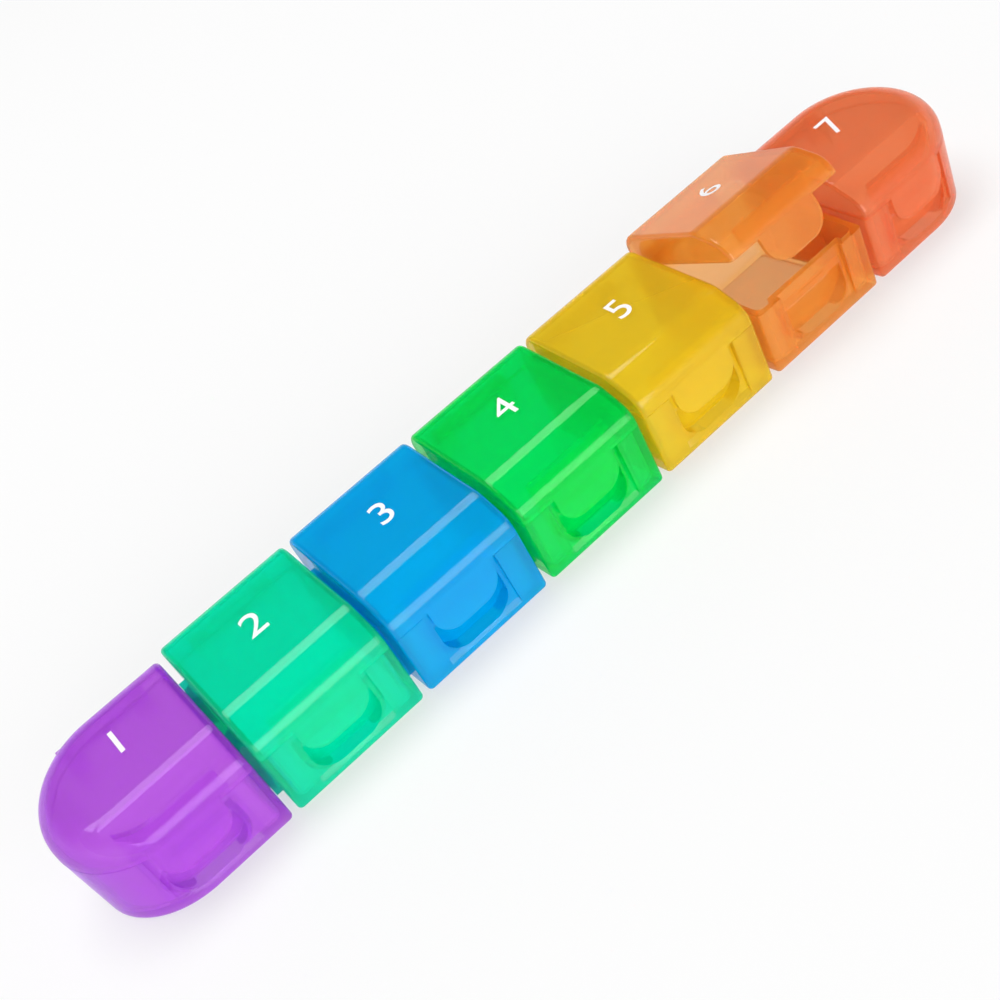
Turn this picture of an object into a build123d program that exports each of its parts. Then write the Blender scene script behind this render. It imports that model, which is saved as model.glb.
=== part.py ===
"""Seven-box pill organizer: a row of lidded boxes that slide onto each other. Millimetres, +Z up.

The origin lies on the table under the middle of the row. +X runs along the row, the lids open from
the front (-Y) and hinge along the back (+Y). Box 1 and box 7 have a round outer end. The lid of box 6
stands ajar.
"""
import os
from math import cos, radians, sin, tan

from build123d import *

# --- row
box_count = 7
pitch = 32.0                # from one box to the next
box_gap = 1.5               # daylight between two boxes
depth = 36.0                # front to back, at the rim
end_length = 35.3           # a round-ended box, from its flat side to its crown

# --- heights and slopes
rim_height = 15.0           # of the boxes, at the front
rim_angle = 5.3             # the rim climbs towards the hinge
lid_height = 25.6           # table to the lid's top plane, over the back wall
lid_angle = 5.5             # the top plane climbs towards the hinge
seam = 0.1                  # between a rim and its closed lid
draft_angle = 2.0           # the front and back walls lean out

# --- walls
box_wall = 1.3
box_floor = 1.3
lid_wall = 1.2
corner_radius = 1.0         # outer corners of a box
hollow_radius = 1.8         # inner corners of a box

# --- form of a lid
back_radius = 3.8           # long edge over the hinge
crown_radius = 6.5          # the same edge on an end box, where it runs on round the crown
crease_setback = 7.8        # the flat top ends this far behind the front
shoulder_angle = 28.0       # the front of the lid falls away below the flat top
shoulder_radius = 5.5       # and turns down into the front wall
crease_radius = 2.0
lid_edge_radius = 1.0       # side edges

# --- front of a box: a recess for the lid's tab, with a finger scoop in it
recess_width = 18.0
recess_depth = 1.3          # at the rim
recess_lean = -0.8          # its face leans in, so the recess gets shallow towards the table
recess_bottom = 0.9
recess_ramp = 2.2           # height of the slope that ends it
scoop_width = 16.0
scoop_top = 11.0
scoop_bottom = 2.4
scoop_depth = 3.0           # behind the recess
scoop_ledge = 1.1           # height of the ledge under the deepest line
scoop_corner = 4.5
bead_width = 6.8            # snap bead under the tab
bead_height = 1.2
bead_out = 0.12

# --- tab and stiffening rib of a lid
tab_width = 15.3
tab_drop = 7.2              # below the rim
tab_thickness = 1.05
tab_corner = 4.8
rib_width = 20.0
rib_thickness = 0.8
rib_clearance = 0.25        # inside the wall behind the recess
rib_drop = 0.4              # below the rim

# --- hinge
hinge_setback = 2.2         # axis behind the back of the row
hinge_height = 17.4
knuckle_radius = 1.9
barrel_length = 11.6        # between the two ears
ear_width = 3.8
ear_gap = 0.3               # beside the barrel
pin_radius = 1.0
pin_clearance = 0.05
ear_web = 6.0               # height of the web under an ear
ajar_box = 6
ajar_angle = 20.0

# --- dovetail rails that hold the boxes together
rail_places = (-5.5, 12.0)  # along the depth
rail_root = 3.0
rail_tip = 4.4
guide_margin = 4.6          # the guide pad reaches this far past the outer rails
tip_gap = 0.2               # a rail or guide stops short of the next box by this
slide_clearance = 0.1
rail_foot = 0.6             # above the table
guide_below_rim = 1.2
guide_cap = 1.2             # closes a guide and sits on the rail

# --- worked out from the values above
half_depth = depth / 2
box_length = pitch - box_gap
flat_side = box_length / 2                      # from the middle of a box
crown = end_length - flat_side                  # from the middle of an end box to its round tip
end_axis = half_depth - crown                   # axis of the round end, seen from the middle of its box
hinge_y = half_depth + hinge_setback
hinge_axis = Axis((0, hinge_y, hinge_height), (1, 0, 0))
over_all = 2 * lid_height                       # taller than anything in the row
near = seam / 10                                # an edge this close to a face lies on it
rail_reach = box_gap - tip_gap
rim_plane = Plane(origin=(0, -half_depth, rim_height), x_dir=(1, 0, 0),
                  z_dir=(0, -sin(radians(rim_angle)), cos(radians(rim_angle))))


def top_z(y):
    """Height of the lid's top plane."""
    return lid_height - (half_depth - y) * tan(radians(lid_angle))


def across(profile, start, end):
    """A profile of (y, z), drawn out along the row from start to end."""
    return extrude(Plane.YZ.offset(start) * profile, amount=end - start, dir=(1, 0, 0))


def below_rim(part, drop=0.0):
    """What lies under the rim plane, or under a plane that far below it."""
    return split(part, bisect_by=rim_plane.offset(-drop), keep=Keep.BOTTOM)


def above_rim(part, rise=0.0):
    """What lies over the rim plane, or over a plane that far above it."""
    return split(part, bisect_by=rim_plane.offset(rise), keep=Keep.TOP)


def slab(width, low, high):
    """A block across the front half of a box, this wide, between two heights."""
    return Pos(0, -half_depth, (low + high) / 2) * Box(width, depth, high - low)


def is_flat_side(x, end):
    """Whether the wall at this x is a flat side, and not inside a round end."""
    return not end or x * end < 0


# --- forms that the boxes and lids share: end is -1 or 1 for a round left or right end, 0 for none

def column(end, inset=0.0, foot=0.0, lean=0.0):
    """A box's outline, drawn in by inset, as a column that starts at foot and leans out by an angle."""
    def half_at(z):
        return half_depth - inset - (rim_height - z) * tan(radians(lean))

    low, high = half_at(foot), half_at(over_all)
    profile = Polygon((-low, foot), (low, foot), (high, over_all), (-high, over_all), align=None)
    if not end:
        return across(profile, -flat_side + inset, flat_side - inset)
    straight = across(profile, end_axis, flat_side - inset)
    half_profile = Polygon((0, foot), (low, foot), (high, over_all), (0, over_all), align=None)
    axis = Axis((end_axis, 0, 0), (0, 0, 1))
    rounded = revolve(Plane.YZ.offset(end_axis) * half_profile, axis=axis, revolution_arc=180)
    form = straight + rounded
    return form if end < 0 else mirror(form, about=Plane.YZ)


def corner_edges(form, end, inset=0.0):
    """The upright edges at the flat sides."""
    flats = [x for x in (-flat_side + inset, flat_side - inset) if is_flat_side(x, end)]
    return [edge for edge in form.edges() for x in flats
            if abs(edge.center().X - x) < near and edge.length > rim_height / 2
            and abs(edge.center().Y) > half_depth / 2]


# --- boxes

def scoop(grow=0.0):
    """The finger scoop, or with grow the wall round it: a D-shaped bay that slants in to a ledge."""
    face = -half_depth + recess_depth
    bay = RectangleRounded(scoop_width + 2 * grow, 2 * (scoop_top - scoop_bottom) + 2 * grow,
                           scoop_corner + grow)
    bay = extrude(Plane.XZ.offset(half_depth) * Pos(0, scoop_top) * bay, amount=-half_depth)
    deepest = face + scoop_depth + grow
    slant = Polygon((-half_depth, scoop_top + grow), (face + grow, scoop_top + grow),
                    (deepest, scoop_bottom + scoop_ledge), (deepest, scoop_bottom - grow),
                    (-half_depth, scoop_bottom - grow), align=None)
    return bay & across(slant, -scoop_width, scoop_width)


def recess(end):
    """The shallow bay for the tab: full depth at the rim, and a slope at its foot."""
    face = -half_depth + recess_depth
    foot = Polygon((-depth, recess_bottom), (-half_depth, recess_bottom), (face, recess_bottom + recess_ramp),
                   (face, over_all), (-depth, over_all), align=None)
    bay = across(foot, -recess_width / 2, recess_width / 2) + slab(recess_width, recess_bottom + recess_ramp,
                                                                   over_all)
    return bay - column(end, recess_depth, lean=recess_lean)


def snap_bead(end):
    """A low bar on the recess face that the tab clicks under."""
    face = column(end, recess_depth - bead_out, lean=recess_lean)
    face -= column(end, recess_depth + box_wall / 2, -1, recess_lean)
    return face & slab(bead_width, scoop_top, scoop_top + bead_height)


def ears():
    """Two ears behind the back wall, bored for the pins of the lid."""
    wall_side = half_depth - back_radius
    within = 0.8 * knuckle_radius
    web = Polygon((wall_side, hinge_height), (hinge_y, hinge_height),
                  (hinge_y + within, hinge_height - within / 4),
                  (wall_side, hinge_height - ear_web - back_radius), align=None)
    inner = barrel_length / 2 + ear_gap
    ear = across(web, inner, inner + ear_width)
    ear += across(Pos(hinge_y, hinge_height) * Circle(knuckle_radius), inner, inner + ear_width)
    return ear + mirror(ear, about=Plane.YZ)


def ear_bores():
    reach = barrel_length / 2 + ear_gap + ear_width
    return across(Pos(hinge_y, hinge_height) * Circle(pin_radius + pin_clearance), -reach, reach)


def dovetail(y, widen=0.0, reach=rail_reach):
    """Plan of a rail that stands on a box's right side, with its root sunk in the wall."""
    flare = (rail_tip - rail_root) / 2 / rail_reach
    root = rail_root / 2 + widen
    tip = root + flare * reach
    sunk = flat_side - box_wall / 2
    return Polygon((sunk, y - root), (flat_side, y - root), (flat_side + reach, y - tip),
                   (flat_side + reach, y + tip), (flat_side, y + root), (sunk, y + root), align=None)


def rails():
    """Dovetail rails on the right side of a box, cut short to leave room for the guides' caps."""
    drop = guide_below_rim + guide_cap + slide_clearance
    bars = [extrude(Plane.XY.offset(rail_foot) * dovetail(y), rim_height, (0, 0, 1)) for y in rail_places]
    return below_rim(Part() + bars, drop)


def guides():
    """The pad on the left side of a box, with a slot for each rail of the box before and a cap on top."""
    back = -flat_side + box_wall / 2
    front = -flat_side - rail_reach
    low, high = min(rail_places) - guide_margin, max(rail_places) + guide_margin
    plan = Pos((back + front) / 2, (low + high) / 2) * Rectangle(back - front, high - low)
    pad = below_rim(extrude(Plane.XY.offset(rail_foot) * plan, rim_height, (0, 0, 1)), guide_below_rim)
    for y in rail_places:
        slot = extrude(Pos(-pitch, 0) * dovetail(y, slide_clearance, box_gap), 2 * rim_height, (0, 0, 1))
        pad -= below_rim(slot, guide_below_rim + guide_cap)
    return pad


def box(end, with_rails, with_guides):
    """One open box with its hinge ears and its half of each sliding joint."""
    shell = column(end, lean=draft_angle)
    bottom = shell.edges().group_by(Axis.Z)[0]
    shell = fillet(corner_edges(shell, end) + list(bottom), corner_radius)
    hollow = column(end, box_wall, box_floor, draft_angle)
    bottom = hollow.edges().group_by(Axis.Z)[0]
    hollow = fillet(corner_edges(hollow, end, box_wall) + list(bottom), hollow_radius)

    recess_wall = slab(recess_width + 2 * box_wall, recess_bottom - box_wall, over_all)
    recess_wall -= column(end, recess_depth + box_wall, -over_all, recess_lean)
    hollow = hollow - recess_wall - scoop(box_wall)

    body = below_rim(shell) + ears()
    body = body - hollow - recess(end) - scoop() - ear_bores()
    body += below_rim(snap_bead(end))
    if with_rails:
        body += rails()
    if with_guides:
        body += guides()
    return body


# --- lids

def lid_profile(inset=0.0, beyond=0.0):
    """Side view of a lid, drawn in by inset and running on below the rim, or with no back at all."""
    front, back = -half_depth + inset, half_depth - inset + beyond
    crease_y = -half_depth + crease_setback
    crease = (crease_y + inset * tan(radians(shoulder_angle / 2)), top_z(crease_y) - inset)
    knee_drop = (crease[0] - front) * tan(radians(shoulder_angle))
    line = FilletPolyline((front, 0), (front, crease[1] - knee_drop), crease,
                          (back, top_z(back + inset) - inset), (back, 0),
                          radius=[shoulder_radius - inset, crease_radius,
                                  0 if beyond else back_radius - inset])
    return make_face(line.edges() + [Edge.make_line((back, 0), (front, 0))])


def lid_form(end, inset=0.0):
    """Outer form of a lid, or with inset its hollow, running on below the rim."""
    plan = column(end, inset, -rim_height)
    if not end:
        return across(lid_profile(inset), -pitch, pitch) & plan
    top = Plane(origin=(0, half_depth, top_z(half_depth) - inset), x_dir=(1, 0, 0),
                z_dir=(0, -sin(radians(lid_angle)), cos(radians(lid_angle))))
    plan = split(plan, bisect_by=top, keep=Keep.BOTTOM)
    rounded = [edge for edge in plan.faces().sort_by(Axis.Z)[-1].edges()
               if edge.center().X * end > -flat_side + inset + near]
    return fillet(rounded, crown_radius - inset) & across(lid_profile(inset, depth), -pitch, pitch)


def side_edges(form, end):
    """The edges round a lid's flat sides, all but those along the rim."""
    flats = [x for x in (-flat_side, flat_side) if is_flat_side(x, end)]
    return [edge for edge in form.edges() for x in flats
            if abs(edge.center().X - x) < near
            and abs(rim_plane.to_local_coords(edge.center()).Z - seam) > near]


def tab(end):
    """The tongue on the lid's front that snaps into the recess."""
    low = rim_height - tab_drop
    plan = RectangleRounded(tab_width, 2 * tab_drop, tab_corner)
    plate = extrude(Plane.XZ.offset(half_depth / 2) * Pos(0, rim_height) * plan, amount=half_depth)
    ring = column(end, 0, low - tab_corner) - column(end, tab_thickness, low - 2 * tab_corner)
    return plate & ring & lid_form(end)


def front_rib(end):
    """A rib inside the lid's front that closes behind the wall of the recess."""
    start = recess_depth + box_wall + rib_clearance
    ring = column(end, start) - column(end, start + rib_thickness, -1)
    return above_rim(ring & slab(rib_width, 0, lid_height), -rib_drop)


def barrel():
    """Hinge barrel with a pin at each end, webbed to the lid's back wall."""
    centre = Pos(hinge_y, hinge_height)
    wall_side = half_depth - lid_wall / 2
    web_foot = rim_height + depth * tan(radians(rim_angle)) + 4 * seam
    web = Polygon((wall_side, web_foot), (hinge_y, hinge_height + knuckle_radius / 4),
                  (hinge_y + knuckle_radius / 2, hinge_height + knuckle_radius * 3 / 4),
                  (wall_side, web_foot + knuckle_radius), align=None)
    half = barrel_length / 2
    pin_reach = half + ear_gap + ear_width
    body = across(centre * Circle(knuckle_radius), -half, half) + across(web, -half, half)
    return body + across(centre * Circle(pin_radius), -pin_reach, pin_reach)


def lid(end):
    """One closed lid with its tab, rib and hinge pins."""
    form = above_rim(lid_form(end), seam)
    form = fillet(side_edges(form, end), lid_edge_radius)
    rib = front_rib(end) & lid_form(end)
    return form - lid_form(end, lid_wall) + rib + tab(end) + barrel()


def main():
    os.makedirs("parts", exist_ok=True)
    middle = box(0, True, True), lid(0)
    for number in range(1, box_count + 1):
        end = (number == box_count) - (number == 1)
        this_box, this_lid = (box(end, end < 0, end > 0), lid(end)) if end else middle
        if number == ajar_box:
            this_lid = this_lid.rotate(hinge_axis, -ajar_angle)
        place = Pos((number - (box_count + 1) / 2) * pitch, 0, 0)
        export_step(place * this_box, f"parts/box_{number}.step")
        export_step(place * this_lid, f"parts/lid_{number}.step")


main()
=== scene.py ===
"""A row of seven tinted translucent boxes with flip lids, on a white table. Metres, +Z up.

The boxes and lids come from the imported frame. This script gives each its plastic, eases the fold
across each lid and prints a numeral on it.
"""
from math import cos, log, radians, sin, sqrt, tan

import bmesh
import bpy
from mathutils import Matrix, Quaternion, Vector


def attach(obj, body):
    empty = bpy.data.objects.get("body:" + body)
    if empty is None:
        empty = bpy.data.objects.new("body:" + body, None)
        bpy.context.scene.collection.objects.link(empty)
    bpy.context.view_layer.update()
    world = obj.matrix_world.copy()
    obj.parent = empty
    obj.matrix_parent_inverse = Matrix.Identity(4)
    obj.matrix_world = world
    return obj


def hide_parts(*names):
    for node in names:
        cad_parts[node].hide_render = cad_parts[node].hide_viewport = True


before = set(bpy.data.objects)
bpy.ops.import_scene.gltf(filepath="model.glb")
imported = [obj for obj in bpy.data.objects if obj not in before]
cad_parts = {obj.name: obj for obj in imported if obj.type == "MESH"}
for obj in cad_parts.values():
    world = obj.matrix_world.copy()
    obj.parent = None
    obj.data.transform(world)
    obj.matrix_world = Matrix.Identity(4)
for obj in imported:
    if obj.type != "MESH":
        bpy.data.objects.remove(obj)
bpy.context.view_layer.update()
MM = 0.001


# ---------------------------------------------------------------- boxes
# Each box is an open tub, injection moulded in a clear tinted plastic that is glossy, a little
# cloudy inside the wall and faintly uneven where the melt flowed. It looks deeper where several
# walls lie behind each other.

class Socket:
    """An output of a node, so that maths on it reads as maths."""

    def __init__(self, tree, output):
        self.tree, self.output = tree, output

    def math(self, operation, other):
        node = self.tree.nodes.new("ShaderNodeMath")
        node.operation = operation
        for slot, value in zip(node.inputs, (self, other)):
            plug(self.tree, slot, value)
        return Socket(self.tree, node.outputs[0])

    def __add__(self, other):
        return self.math("ADD", other)

    def __mul__(self, other):
        return self.math("MULTIPLY", other)

    __radd__, __rmul__ = __add__, __mul__


def plug(tree, slot, value):
    """Gives an input of a node its value, or a link from another node."""
    if isinstance(value, Socket):
        tree.links.new(value.output, slot)
    else:
        slot.default_value = value


class Nodes:
    """A node tree under construction: a finish, the light around the row or a rule for a shape."""

    def __init__(self, tree):
        self.tree = tree
        tree.nodes.clear()

    def node(self, kind, settings=None, out=0, **sockets):
        """Adds a node: first its settings, then its sockets.

        A socket goes by its name, with _ for a space, or by its place, as n0. One that takes
        several links gets a list.
        """
        node = self.tree.nodes.new(kind)
        for key, value in (settings or {}).items():
            setattr(node, key, value)
        for key, value in sockets.items():
            by_place = key[1:].isdigit()
            slot = node.inputs[int(key[1:]) if by_place else key.replace("_", " ")]
            for one in value if isinstance(value, list) else [value]:
                plug(self.tree, slot, one)
        return Socket(self.tree, node.outputs[out]) if len(node.outputs) else None


def new_finish(name):
    """A new material and its empty node tree."""
    material = bpy.data.materials.new(name)
    material.use_nodes = True
    return material, Nodes(material.node_tree)


# The tint of a recipe is the share of red, green and blue that the skins of one wall let through,
# and its depth lets through the same again. The cloud is the colour of what scatters inside the
# wall, and the last value is the share of the wall that is clear.
RECIPES = {
    1: ("violet plastic", (0.89, 0.69, 0.975), (0.78, 0.16, 0.98), 0.73),
    2: ("emerald plastic", (0.10, 0.975, 0.92), (0.0, 1.0, 0.56), 0.71),
    3: ("azure plastic", (0.10, 0.91, 1.0), (0.0, 0.60, 1.0), 0.61),
    4: ("green plastic", (0.10, 0.97, 0.71), (0.0, 1.0, 0.16), 0.71),
    5: ("yellow plastic", (1.0, 0.95, 0.44), (1.0, 0.78, 0.035), 0.65),
    6: ("amber plastic", (1.0, 0.875, 0.61), (1.0, 0.42, 0.07), 0.69),
    7: ("coral plastic", (1.0, 0.80, 0.67), (1.0, 0.32, 0.11), 0.69),
}
WALL = 1.2 * MM                       # the tints are given for this thickness
REFRACTION = 1.42
GLOSS, GLOSS_SPREAD = 0.03, 0.03      # least roughness, and what the flow adds to it at most
FLOW_SCALE, FLOW_DETAIL, FLOW_ROUGHNESS = 55.0, 2.0, 0.4
RIPPLE_STRENGTH, RIPPLE_HEIGHT = 0.04, 0.2 * MM
GLOW_SHARE = 0.25                     # of what scatters: light that comes through from behind
STRAIGHT_SHARE = 0.38                 # of what is clear: light that passes without bending
ABSORPTION = 2000.0                   # per metre, of a colour that the plastic swallows whole


def tinted_plastic(name, tint, cloud, clear):
    """Clear plastic of one tint, with part of the light scattered inside the wall."""
    material, finish = new_finish(name)
    skin = (*(part ** 0.5 for part in tint), 1)
    depth = (*(1 + log(part) / (ABSORPTION * WALL) for part in tint), 1)
    inside = (*cloud, 1)
    place = finish.node("ShaderNodeTexCoord", out=3)
    flow = finish.node("ShaderNodeTexNoise", Vector=place, Scale=FLOW_SCALE, Detail=FLOW_DETAIL,
                       Roughness=FLOW_ROUGHNESS)
    gloss = GLOSS + flow * GLOSS_SPREAD
    ripple = finish.node("ShaderNodeBump", Strength=RIPPLE_STRENGTH, Distance=RIPPLE_HEIGHT,
                         Height=flow)
    bent = finish.node("ShaderNodeBsdfPrincipled", Base_Color=skin, Roughness=gloss,
                       IOR=REFRACTION, Transmission_Weight=1.0, Normal=ripple)
    straight = finish.node("ShaderNodeBsdfTransparent", Color=skin)
    haze = finish.node("ShaderNodeBsdfPrincipled", Base_Color=inside, Roughness=gloss,
                       IOR=REFRACTION, Normal=ripple)
    glow = finish.node("ShaderNodeBsdfTranslucent", Color=inside, Normal=ripple)
    scatter = finish.node("ShaderNodeMixShader", n0=GLOW_SHARE, n1=haze, n2=glow)
    window = finish.node("ShaderNodeMixShader", n0=STRAIGHT_SHARE, n1=bent, n2=straight)
    wall = finish.node("ShaderNodeMixShader", n0=clear, n1=scatter, n2=window)
    swallowed = finish.node("ShaderNodeVolumeAbsorption", Color=depth, Density=ABSORPTION)
    finish.node("ShaderNodeOutputMaterial", Surface=wall, Volume=swallowed)
    return material


WELD_DISTANCE = 0.002 * MM
ROUND_ANGLE = radians(25)             # faces that meet at less belong to one round


def moulded(node, plastic, reshape=None):
    """The moulding itself: the node's own surface, welded, with its rounds shaded as round."""
    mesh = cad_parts[node].data.copy()
    shape = bmesh.new()
    shape.from_mesh(mesh)
    bmesh.ops.remove_doubles(shape, verts=shape.verts, dist=WELD_DISTANCE)
    if reshape:
        reshape(shape)
    for face in shape.faces:
        face.smooth = True
    for edge in shape.edges:
        edge.smooth = len(edge.link_faces) == 2 and edge.calc_face_angle(0.0) < ROUND_ANGLE
    shape.to_mesh(mesh)
    shape.free()
    mesh.materials.clear()
    mesh.materials.append(plastic)
    piece = bpy.data.objects.new(node + "_moulding", mesh)
    bpy.context.scene.collection.objects.link(piece)
    level = piece.modifiers.new("level faces", "WEIGHTED_NORMAL")
    level.keep_sharp = True
    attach(piece, node)
    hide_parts(node)


plastics = {number: tinted_plastic(*recipe) for number, recipe in RECIPES.items()}
for number, plastic in plastics.items():
    moulded(f"box_{number}", plastic)


# ---------------------------------------------------------------- lids
# Each lid is one moulding in the plastic of its box: shell, front tab and a hinge barrel whose pins
# snap into the ears at the back of the box. Its flat top folds down to the front in a soft round,
# which is eased here to more than the solid's, because the light draws a broad line along it.

BACK_Y, BACK_HEIGHT = 18 * MM, 25.6 * MM
FOLD_Y = -10.2 * MM
LID_ANGLE, FRONT_ANGLE = radians(5.5), radians(28)
SOLID_FOLD_RADIUS, FOLD_RADIUS, FOLD_STEPS = 2 * MM, 8 * MM, 12
EASED_DEPTH = 1.15 * MM               # the easing fades out towards the inside of the wall
CUT_SNAP = 0.0001 * MM
HINGE = Vector((0, 20.2 * MM, 17.4 * MM))
AJAR_LID, AJAR_ANGLE = 6, radians(20)


def at_rest(number):
    """Turns a shut lid about its hinge to where it rests: one lid stands ajar."""
    angle = -AJAR_ANGLE if number == AJAR_LID else 0.0
    return (Matrix.Translation(HINGE) @ Matrix.Rotation(angle, 4, "X")
            @ Matrix.Translation(-HINGE))


def top_height(y):
    """Height of a shut lid's flat top."""
    return BACK_HEIGHT - (BACK_Y - y) * tan(LID_ANGLE)


def fold_arc(radius):
    """Centre of the round between top and front slope, and where it starts and ends."""
    middle, half_turn = (LID_ANGLE + FRONT_ANGLE) / 2, (FRONT_ANGLE - LID_ANGLE) / 2
    away = radius / cos(half_turn)
    y, z = FOLD_Y + away * sin(middle), top_height(FOLD_Y) - away * cos(middle)
    return y, z, y - radius * sin(FRONT_ANGLE), y - radius * sin(LID_ANGLE)


def fold_height(y, radius):
    """Height of a shut lid's outside near the fold, with a round of this radius."""
    centre_y, centre_z, start, end = fold_arc(radius)
    if start < y < end:
        return centre_z + sqrt(radius ** 2 - (y - centre_y) ** 2)
    return top_height(y) if y >= end else top_height(FOLD_Y) - (FOLD_Y - y) * tan(FRONT_ANGLE)


def ease_fold(shape, number):
    """Cuts a lid across at its fold and lowers its outside there onto the larger round."""
    resting = at_rest(number)
    shape.transform(resting.inverted())
    start, end = fold_arc(FOLD_RADIUS)[2:]
    for step in range(FOLD_STEPS + 1):
        cut = start + (end - start) * step / FOLD_STEPS
        bmesh.ops.bisect_plane(shape, geom=shape.verts[:] + shape.edges[:] + shape.faces[:],
                               dist=CUT_SNAP, plane_co=(0, cut, 0), plane_no=(0, 1, 0))
    for vertex in shape.verts:
        y = vertex.co.y
        if start <= y <= end:
            outside = fold_height(y, SOLID_FOLD_RADIUS)
            under = outside - vertex.co.z
            drop = outside - fold_height(y, FOLD_RADIUS)
            vertex.co.z -= drop * max(0.0, 1.0 - under / EASED_DEPTH)
    shape.transform(resting)


for number, plastic in plastics.items():
    moulded(f"lid_{number}", plastic, lambda shape: ease_fold(shape, number))


# ---------------------------------------------------------------- numerals
# One white numeral is pad-printed on the flat top of each lid, upright when seen from the front of
# the row. The ink is a thin even film. One rule draws all seven, from the count along the row, the
# height and the thickness.

NUMERAL_HEIGHT = 6.8 * MM
INK_THICKNESS = 0.06 * MM
PITCH, MIDDLE_BOX = 32 * MM, 4
NUMERAL_X, NUMERAL_Y = 0.5 * MM, 2.7 * MM     # from the middle of the box
DIGIT_SHARE = 0.7                             # a digit's height, of the type's size
INK_WELD = 0.001 * MM
INK_WHITE = (0.95, 0.94, 0.96, 1)
INK_GLOSS, INK_GLOSS_SPREAD, INK_GRAIN = 0.3, 0.15, 900.0

ink, ink_finish = new_finish("white ink")
lid_place = ink_finish.node("ShaderNodeTexCoord", out=3)
grain = ink_finish.node("ShaderNodeTexNoise", Vector=lid_place, Scale=INK_GRAIN)
dried = ink_finish.node("ShaderNodeBsdfPrincipled", Base_Color=INK_WHITE,
                        Roughness=INK_GLOSS + grain * INK_GLOSS_SPREAD)
ink_finish.node("ShaderNodeOutputMaterial", Surface=dried)

print_rule = bpy.data.node_groups.new("printed numeral", "GeometryNodeTree")
print_rule.interface.new_socket("Geometry", in_out="OUTPUT", socket_type="NodeSocketGeometry")
inputs = {name: print_rule.interface.new_socket(name, in_out="INPUT", socket_type=kind).identifier
          for name, kind in (("Number", "NodeSocketInt"), ("Height", "NodeSocketFloat"),
                             ("Thickness", "NodeSocketFloat"), ("Ink", "NodeSocketMaterial"))}
film = Nodes(print_rule)
count, tall, thick, coat = [film.node("NodeGroupInput", out=given) for given in range(4)]
digit = film.node("FunctionNodeValueToString", {"data_type": "INT"}, n0=count)
outline = film.node("GeometryNodeStringToCurves", {"align_x": "CENTER", "align_y": "MIDDLE"},
                    String=digit, Size=tall * (1 / DIGIT_SHARE))
flat = film.node("GeometryNodeFillCurve", n0=outline)
raised = film.node("GeometryNodeExtrudeMesh", Mesh=flat, Offset_Scale=thick, Individual=False)
under_side = film.node("GeometryNodeFlipFaces", Mesh=flat)
solid = film.node("GeometryNodeJoinGeometry", Geometry=[under_side, raised])
closed = film.node("GeometryNodeMergeByDistance", Geometry=solid, Distance=INK_WELD)
real = film.node("GeometryNodeRealizeInstances", Geometry=closed)
coated = film.node("GeometryNodeSetMaterial", Geometry=real, Material=coat)
film.node("NodeGroupOutput", Geometry=coated)

for number in RECIPES:
    blank = bpy.data.objects.new("blank", bpy.data.meshes.new("blank"))
    bpy.context.scene.collection.objects.link(blank)
    stamp = blank.modifiers.new("print", "NODES")
    stamp.node_group = print_rule
    stamp[inputs["Number"]] = number
    stamp[inputs["Height"]] = NUMERAL_HEIGHT
    stamp[inputs["Thickness"]] = INK_THICKNESS
    stamp[inputs["Ink"]] = ink
    bpy.context.view_layer.update()
    printed = blank.evaluated_get(bpy.context.evaluated_depsgraph_get())
    mesh = bpy.data.meshes.new_from_object(printed)
    bpy.data.objects.remove(blank)
    spot = Vector(((number - MIDDLE_BOX) * PITCH + NUMERAL_X, NUMERAL_Y, top_height(NUMERAL_Y)))
    mesh.transform(at_rest(number) @ Matrix.Translation(spot) @ Matrix.Rotation(LID_ANGLE, 4, "X"))
    numeral = bpy.data.objects.new(f"numeral_{number}", mesh)
    bpy.context.scene.collection.objects.link(numeral)
    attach(numeral, f"lid_{number}")


# ---------------------------------------------------------------- table, light and camera
# The row stands on a white table inside a pale light tent that is darker overhead. Two softboxes
# light it: one above and a little behind the row, and a lower one in front.

TABLE_REACH, TABLE_GAP = 6.0, 0.2 * MM
TABLE_WHITE = (0.95, 0.95, 0.95, 1)
PURE_WHITE = (1, 1, 1, 1)
WASH = 0.6                            # keeps the table white to the edge of the picture

table_white, table_finish = new_finish("white table")
paper = table_finish.node("ShaderNodeBsdfDiffuse", Color=TABLE_WHITE)
white = table_finish.node("ShaderNodeEmission", Color=PURE_WHITE, Strength=1.0)
to_camera, in_gloss, through_wall = [table_finish.node("ShaderNodeLightPath", out=kind)
                                     for kind in (0, 3, 6)]
washed = table_finish.node("ShaderNodeMixShader", n0=(to_camera + in_gloss + through_wall) * WASH,
                           n1=paper, n2=white)
table_finish.node("ShaderNodeOutputMaterial", Surface=washed)
table_mesh = bpy.data.meshes.new("table")
table_mesh.from_pydata([(x * TABLE_REACH, y * TABLE_REACH, 0)
                        for x, y in ((-1, -1), (1, -1), (1, 1), (-1, 1))], [], [(0, 1, 2, 3)])
table_mesh.materials.append(table_white)
table = bpy.data.objects.new("table", table_mesh)
table.location.z = -TABLE_GAP
bpy.context.scene.collection.objects.link(table)

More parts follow.
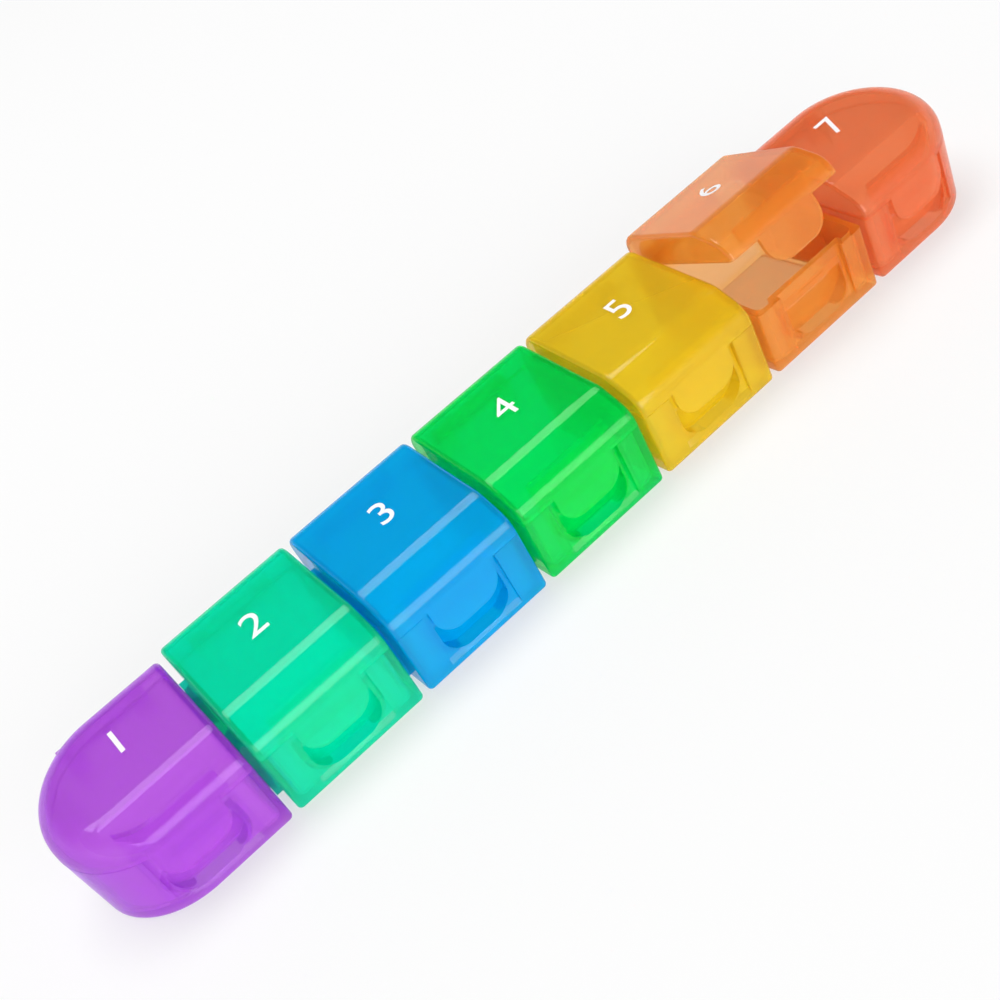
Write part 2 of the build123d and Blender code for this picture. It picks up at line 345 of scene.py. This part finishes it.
TENT_SIDES, TENT_TOP = 1.2, 0.12      # strength of the light that comes from there
SIDES_END, TOP_START = 0.1, 0.65      # as the sine of the angle above the table
world = bpy.data.worlds.new("light tent")
bpy.context.scene.world = world
world.use_nodes = True
tent = Nodes(world.node_tree)
direction = tent.node("ShaderNodeTexCoord", out=0)
height = tent.node("ShaderNodeSeparateXYZ", out=2, Vector=direction)
shade = tent.node("ShaderNodeMapRange", {"interpolation_type": "SMOOTHSTEP"}, Value=height,
                  From_Min=SIDES_END, From_Max=TOP_START, To_Min=TENT_SIDES, To_Max=TENT_TOP)
cloth = tent.node("ShaderNodeBackground", Color=PURE_WHITE, Strength=shade)
tent.node("ShaderNodeOutputWorld", Surface=cloth)


def softbox(name, place, width, height, power):
    """A rectangular area light that faces the row."""
    light = bpy.data.lights.new(name, "AREA")
    light.shape, light.size, light.size_y, light.energy = "RECTANGLE", width, height, power
    lamp = bpy.data.objects.new(name, light)
    lamp.location = place
    lamp.rotation_mode = "QUATERNION"
    lamp.rotation_quaternion = (-Vector(place)).to_track_quat("-Z", "Y")
    bpy.context.scene.collection.objects.link(lamp)


softbox("overhead softbox", place=(-0.1, 0.55, 1.95), width=1.9, height=1.0, power=28.0)
softbox("front softbox", place=(-0.3, -1.95, 0.55), width=2.4, height=1.2, power=34.0)

CAMERA_PLACE = Vector((-83.53, -223.16, 178.47)) * MM
VIEW_AZIMUTH, VIEW_ELEVATION, VIEW_ROLL = radians(18.045), radians(35.655), radians(-30.704)
LENS_LENGTH, SENSOR_WIDTH = 52.47, 36.0       # in millimetres, as Blender takes them
NEAREST_SEEN = 10 * MM
lens = bpy.data.cameras.new("camera")
lens.lens, lens.sensor_width = LENS_LENGTH, SENSOR_WIDTH
lens.clip_start = NEAREST_SEEN
camera = bpy.data.objects.new("camera", lens)
camera.location = CAMERA_PLACE
view = Vector((sin(VIEW_AZIMUTH) * cos(VIEW_ELEVATION), cos(VIEW_AZIMUTH) * cos(VIEW_ELEVATION),
               -sin(VIEW_ELEVATION)))
camera.rotation_mode = "QUATERNION"
camera.rotation_quaternion = (view.to_track_quat("-Z", "Y")
                              @ Quaternion((0, 0, 1), VIEW_ROLL))
bpy.context.scene.collection.objects.link(camera)
bpy.context.scene.camera = camera
bpy.context.scene.view_settings.view_transform = "Standard"
